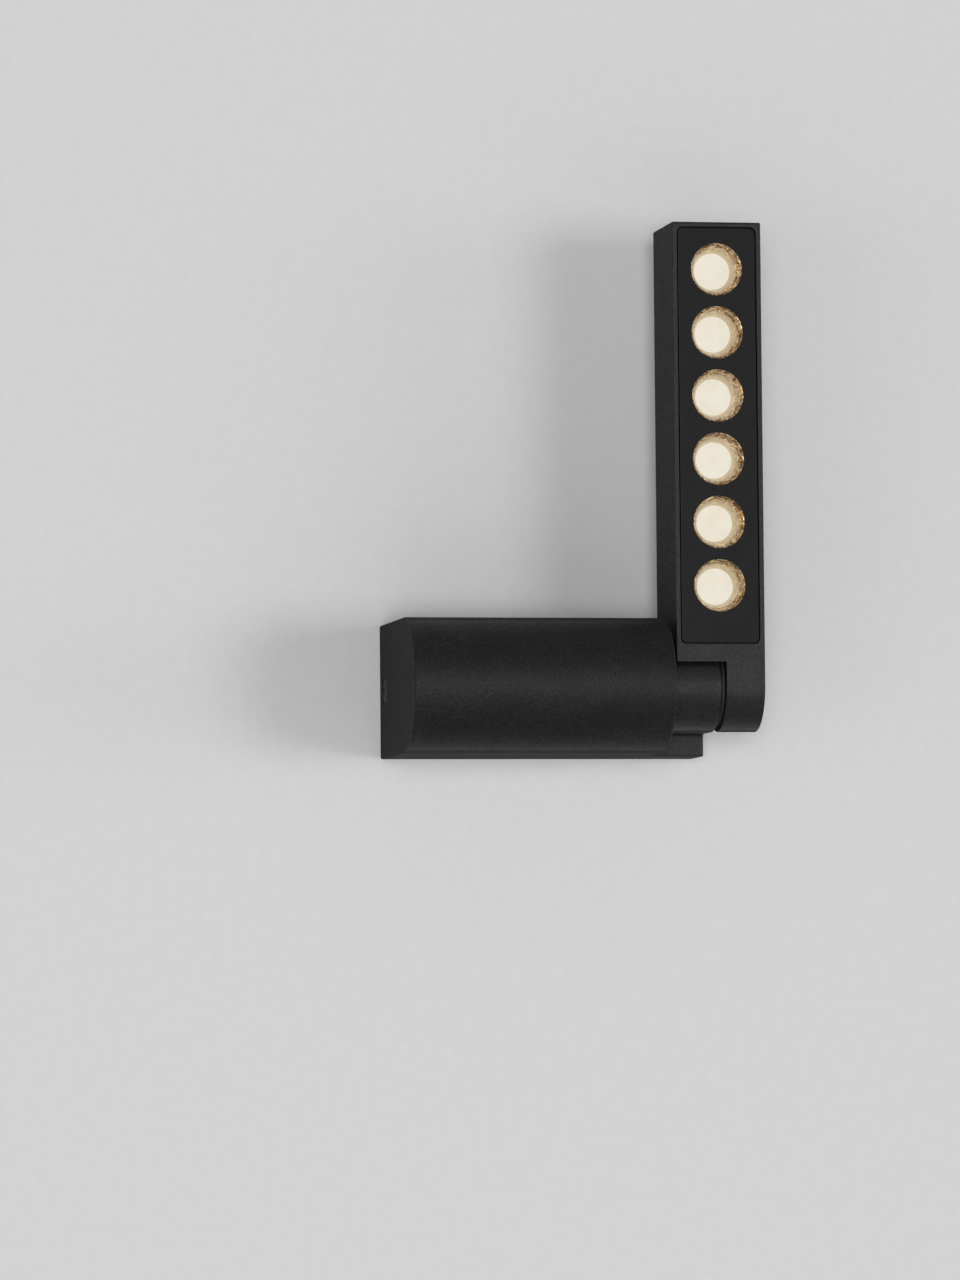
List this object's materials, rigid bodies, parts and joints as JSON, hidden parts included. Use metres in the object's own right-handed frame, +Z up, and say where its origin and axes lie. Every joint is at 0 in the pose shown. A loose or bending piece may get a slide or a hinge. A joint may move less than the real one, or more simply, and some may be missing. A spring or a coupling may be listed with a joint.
{
  "type": "pivoting spotlight wall light",
  "caption": "Wall light: a D-shaped housing on the wall carries, on a friction hinge at its end, an upright square bar with a column of round spot optics.",
  "frame": {"origin": "on the wall, midway between the two wall-screw holes, level with the tilt axis", "axes": "+Z up, +Y into the wall, +X along the wall to the right as seen from the room; the light stands out of the wall towards -Y"},
  "size_m": [0.1038, 0.0567, 0.151],
  "materials": {
    "powder_black": "fine-textured matte black powder coat on die-cast aluminium",
    "panel_black": "smooth satin black moulded insert",
    "screw_black": "blackened steel, satin",
    "rubber_black": "moulded rubber",
    "clamp_white": "moulded nylon",
    "terminal_white": "moulded polyamide",
    "steel": "zinc-plated steel",
    "spring_steel": "spring steel",
    "brass": "plain brass",
    "tinned_brass": "tinned brass",
    "driver_white": "moulded polycarbonate",
    "board_green": "glass-fibre board with solder mask",
    "board_white": "white solder mask on an aluminium-backed board",
    "ferrite_and_tape": "ferrite core with taped winding",
    "ferrite": "ferrite",
    "capacitor_sleeve": "shrink sleeve",
    "lead_brown": "silicone insulation",
    "lead_blue": "silicone insulation",
    "lead_white": "silicone insulation",
    "washer_black": "dark friction material",
    "bush_polymer": "sliding polymer",
    "pad_grey": "thermally conductive silicone",
    "led_yellow": "phosphor on ceramic",
    "connector_white": "moulded connector",
    "reflector_gold": "satin gold metallised cup",
    "lens_glow": "frosted lens, lit"
  },
  "bodies": {
    "wall_base": {"base_casting": "powder_black", "housing_cover": "powder_black", "cover_screw": "screw_black", "cable_grommet": "rubber_black", "cord_clamp": "clamp_white", "cord_clamp_screws": "steel", "terminal_block": "terminal_white", "terminal_fixing_screw": "steel", "terminal_screws": "brass", "earth_tag": "tinned_brass", "earth_screw": "steel", "driver_case": "driver_white", "driver_lid": "driver_white", "driver_board": "board_green", "driver_transformer": "ferrite_and_tape", "driver_capacitors": "capacitor_sleeve", "driver_choke": "ferrite", "driver_screws": "steel", "live_lead": "lead_brown", "neutral_lead": "lead_blue", "base_lead": "lead_white", "hinge_tube": "steel", "barrel_plug": "powder_black", "friction_washer": "washer_black", "stop_pin": "steel", "wave_washer": "spring_steel", "lock_nut": "steel"},
    "tilting_head": {"head_body": "powder_black", "lug_bush": "bush_polymer", "lug_cap": "powder_black", "head_lead": "lead_white", "front_panel": "panel_black", "led_board": "board_white", "thermal_pad": "pad_grey", "led_chips": "led_yellow", "board_connector": "connector_white", "board_screws": "steel", "reflector_1": "reflector_gold", "reflector_2": "reflector_gold", "reflector_3": "reflector_gold", "reflector_4": "reflector_gold", "reflector_5": "reflector_gold", "reflector_6": "reflector_gold", "lens_1": "lens_glow", "lens_2": "lens_glow", "lens_3": "lens_glow", "lens_4": "lens_glow", "lens_5": "lens_glow", "lens_6": "lens_glow"}
  },
  "joints": [
    {"name": "head_tilt", "type": "hinge", "parent": "wall_base", "child": "tilting_head", "pos_m": [0.053, -0.029, 0], "axis": [1, 0, 0], "range_deg": [0, 120]}
  ]
}
